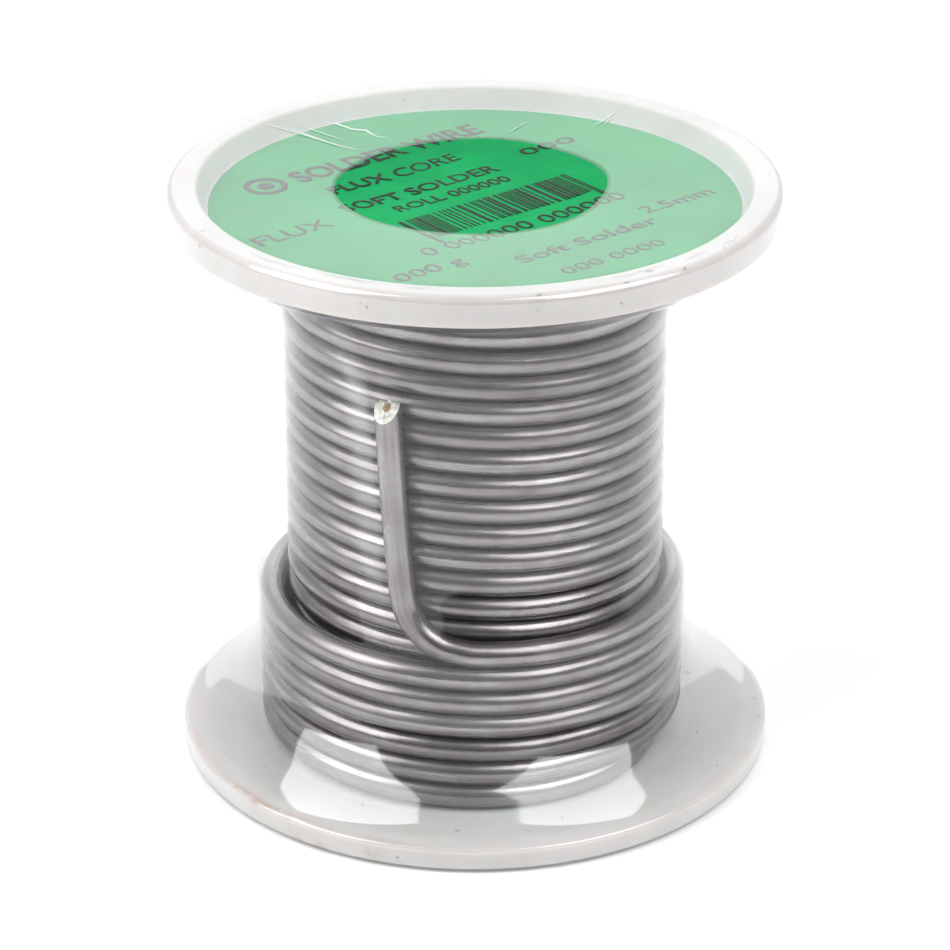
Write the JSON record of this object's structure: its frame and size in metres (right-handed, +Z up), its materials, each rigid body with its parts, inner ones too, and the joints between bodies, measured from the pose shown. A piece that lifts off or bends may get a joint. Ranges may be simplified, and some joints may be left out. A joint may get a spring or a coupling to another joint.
{
  "type": "solder wire spool",
  "caption": "Flanged plastic spool wound with thick flux-cored solder wire, with a round face label, all inside a clear shrink film with a round opening.",
  "frame": {"origin": "centre of the spool's foot, where its axis meets the surface that it stands on", "axes": "+Z up along the spool's axis of rotation; -Y towards the free end of the wire's side of the spool; +X to the right seen from there"},
  "size_m": [0.0584, 0.0584, 0.0586],
  "materials": {
    "spool_plastic": "natural translucent polypropylene, satin",
    "label_paper": "coated green paper, semi matt",
    "solder": "drawn tin-lead wire, bright with a dull bloom",
    "flux": "solid resin flux, amber",
    "clear_film": "clear glossy heat-shrink film"
  },
  "bodies": {
    "root": {"spool_base_half": "spool_plastic", "spool_cap_half": "spool_plastic", "face_label": "label_paper", "solder_layer_inner": "solder", "solder_layer_middle": "solder", "solder_layer_outer": "solder", "solder_tail": "solder", "flux_core": "flux", "shrink_film": "clear_film"}
  },
  "joints": []
}
